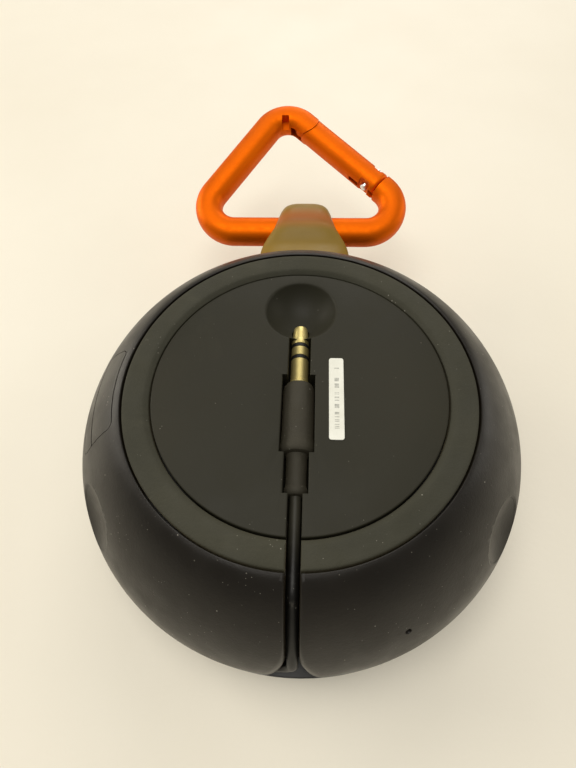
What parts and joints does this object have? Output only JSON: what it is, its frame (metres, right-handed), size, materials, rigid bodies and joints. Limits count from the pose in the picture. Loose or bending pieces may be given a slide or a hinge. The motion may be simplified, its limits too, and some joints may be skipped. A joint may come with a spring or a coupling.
{
  "type": "clip-on shower speaker",
  "caption": "Round rubber-backed clip-on speaker with a snap hook in a rubber loop, a built-in audio cable docked in its back and a cloth grille.",
  "frame": {"origin": "centre of the flat front badge that the speaker lies on", "axes": "+X to the flank right of the plug, +Y towards the snap hook, +Z out of the flat back"},
  "size_m": [0.0938, 0.1424, 0.042],
  "materials": {
    "rubber": "matt black rubber skin",
    "ring_rubber": "fine-textured grey rubber",
    "panel_plastic": "satin moulded plastic",
    "dark_plastic": "matt black plastic",
    "orange_anodised": "satin orange anodising",
    "steel": "bright steel",
    "gold_plate": "polished gold plating",
    "loop_rubber": "smooth dark rubber",
    "cable_rubber": "matt black cable rubber",
    "label_paper": "white label film",
    "grille_cloth": "woven black cloth",
    "dark_steel": "dark plated steel",
    "board_green": "green circuit board",
    "cell_foil": "foil pouch",
    "ferrite": "ferrite magnet",
    "cone_paper": "pressed pulp",
    "copper": "copper winding"
  },
  "bodies": {
    "speaker_body": {"rear_housing": "rubber", "foot_ring": "ring_rubber", "rear_panel": "panel_plastic", "blank_label": "label_paper", "usb_flap_root": "rubber", "front_bezel": "dark_plastic", "seal_ring": "rubber", "aux_cable": "cable_rubber", "cable_gland": "cable_rubber", "loop_tab": "loop_rubber", "grille": "dark_steel", "grille_fabric": "grille_cloth", "front_badge": "dark_steel", "baffle": "dark_plastic", "driver_basket": "dark_steel", "surround": "rubber", "spider": "cone_paper", "top_plate": "dark_steel", "magnet": "ferrite", "yoke": "dark_steel", "chassis": "dark_plastic", "main_board": "board_green", "usb_socket": "steel", "microphone": "dark_steel", "battery": "cell_foil", "switch_left_lower": "dark_plastic", "switch_right_lower": "dark_plastic", "switch_left_upper": "dark_plastic", "switch_right_upper": "dark_plastic", "case_screw_a": "steel", "case_screw_b": "steel", "case_screw_c": "steel", "case_screw_d": "steel"},
    "snap_hook": {"carabiner_frame": "orange_anodised", "gate_pivot_pin": "steel", "gate_spring": "steel"},
    "hook_gate": {"carabiner_gate": "orange_anodised", "gate_latch_pin": "steel"},
    "port_flap": {"usb_flap": "rubber"},
    "key_a": {"key_left_lower": "rubber"},
    "key_b": {"key_right_lower": "rubber"},
    "key_c": {"key_left_upper": "rubber"},
    "key_d": {"key_right_upper": "rubber"},
    "aux_lead": {"aux_cable_lead": "cable_rubber", "plug_relief": "cable_rubber", "plug_overmould": "cable_rubber", "plug_sleeve": "gold_plate", "plug_insulator_rear": "dark_plastic", "plug_ring_contact": "gold_plate", "plug_insulator_front": "dark_plastic", "plug_tip": "gold_plate"},
    "driver_cone": {"cone": "cone_paper", "dust_cap": "cone_paper", "voice_coil": "copper"}
  },
  "joints": [
    {"name": "hook_swing", "type": "hinge", "parent": "speaker_body", "child": "snap_hook", "pos_m": [0, 0.0578, 0.025], "axis": [1, 0, 0], "range_deg": [-70, 105]},
    {"name": "gate_open", "type": "hinge", "parent": "snap_hook", "child": "hook_gate", "pos_m": [-0.00073, 0.08963, 0.03449], "axis": [0, 0.2857, -0.9583], "range_deg": [0, 26], "stiffness_Nm_per_rad": 0.03, "springref_deg": -11.46},
    {"name": "flap_open", "type": "hinge", "parent": "speaker_body", "child": "port_flap", "pos_m": [-0.0399, 0, 0.0353], "axis": [0, -1, 0], "range_deg": [0, 100]},
    {"name": "plug_lift", "type": "hinge", "parent": "speaker_body", "child": "aux_lead", "pos_m": [0, -0.04495, 0.0203], "axis": [1, 0, 0], "range_deg": [0, 40]},
    {"name": "cone_move", "type": "slide", "parent": "speaker_body", "child": "driver_cone", "axis": [0, 0, 1], "range_m": [-0.0008, 0.0008], "stiffness_N_per_m": 900, "deforming": ["surround", "spider"]},
    {"name": "key_a_press", "type": "slide", "parent": "speaker_body", "child": "key_a", "axis": [0.7845, 0.4529, -0.4236], "range_m": [0, 0.0005], "stiffness_N_per_m": 1200, "springref_m": -0.0002},
    {"name": "key_b_press", "type": "slide", "parent": "speaker_body", "child": "key_b", "axis": [-0.7845, 0.4529, -0.4236], "range_m": [0, 0.0005], "stiffness_N_per_m": 1200, "springref_m": -0.0002},
    {"name": "key_c_press", "type": "slide", "parent": "speaker_body", "child": "key_c", "axis": [0.7845, -0.4529, -0.4236], "range_m": [0, 0.0005], "stiffness_N_per_m": 1200, "springref_m": -0.0002},
    {"name": "key_d_press", "type": "slide", "parent": "speaker_body", "child": "key_d", "axis": [-0.7845, -0.4529, -0.4236], "range_m": [0, 0.0005], "stiffness_N_per_m": 1200, "springref_m": -0.0002}
  ]
}
